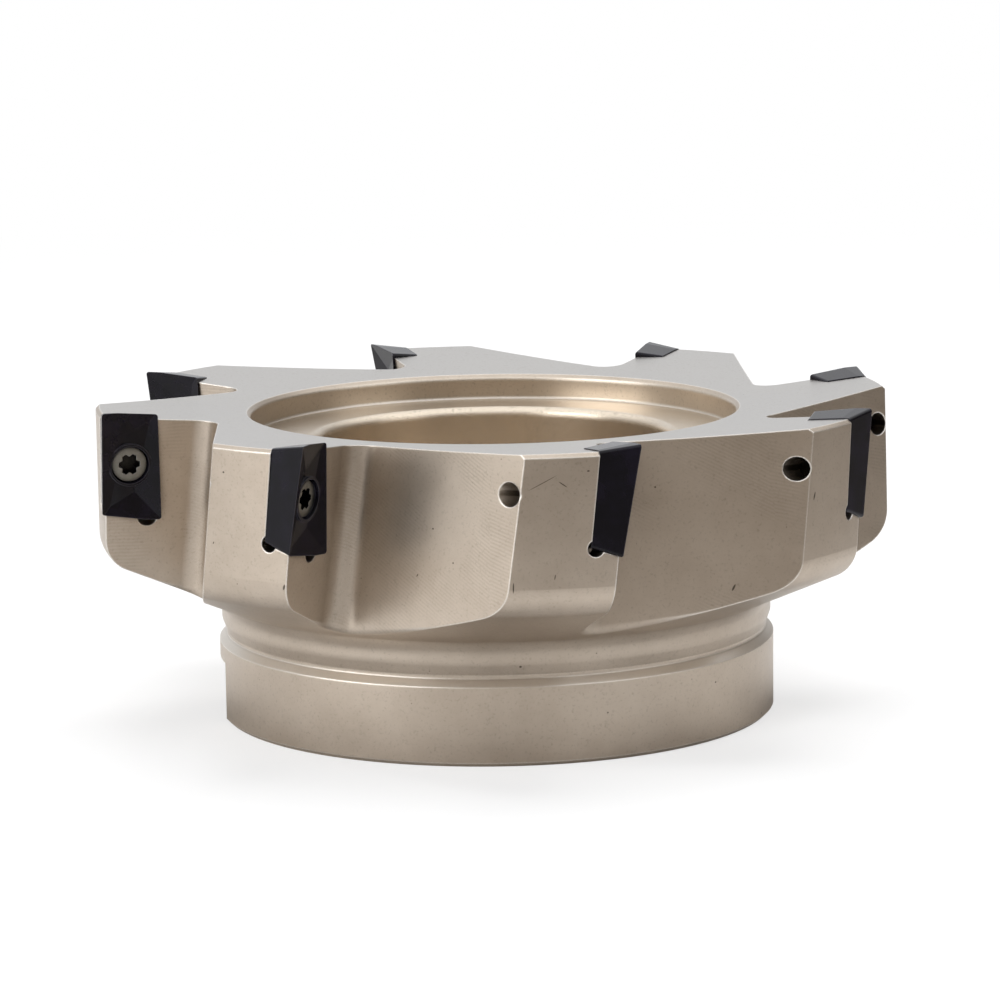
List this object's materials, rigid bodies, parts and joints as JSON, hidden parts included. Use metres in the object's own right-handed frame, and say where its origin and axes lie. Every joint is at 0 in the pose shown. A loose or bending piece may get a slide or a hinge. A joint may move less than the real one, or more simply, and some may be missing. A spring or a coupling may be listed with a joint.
{
  "type": "indexable face mill",
  "caption": "Shell-type face mill with clamped parallelogram cutting inserts, a bored hub with a drive slot, and a stepped front recess for the locking screw.",
  "frame": {"origin": "on the spindle axis at the back face of the hub, which the part stands on", "axes": "+Z along the spindle axis from the back face to the cutting side; +X through the cutting corner of insert 1; the inserts cut turning counter-clockwise seen from +Z"},
  "size_m": [0.127, 0.127, 0.0508],
  "materials": {
    "nickel_body": "satin nickel-plated alloy steel, warm grey, with fine milling marks",
    "coated_carbide": "cemented carbide with a smooth violet-black vapour coating",
    "screw_steel": "black-oxidised screw steel with worn bright edges in the socket"
  },
  "bodies": {
    "root": {"cutter_body": "nickel_body", "insert_1": "coated_carbide", "insert_2": "coated_carbide", "insert_3": "coated_carbide", "insert_4": "coated_carbide", "insert_5": "coated_carbide", "insert_6": "coated_carbide", "insert_7": "coated_carbide", "insert_8": "coated_carbide", "insert_screw_1": "screw_steel", "insert_screw_2": "screw_steel", "insert_screw_3": "screw_steel", "insert_screw_4": "screw_steel", "insert_screw_5": "screw_steel", "insert_screw_6": "screw_steel", "insert_screw_7": "screw_steel", "insert_screw_8": "screw_steel"}
  },
  "joints": []
}
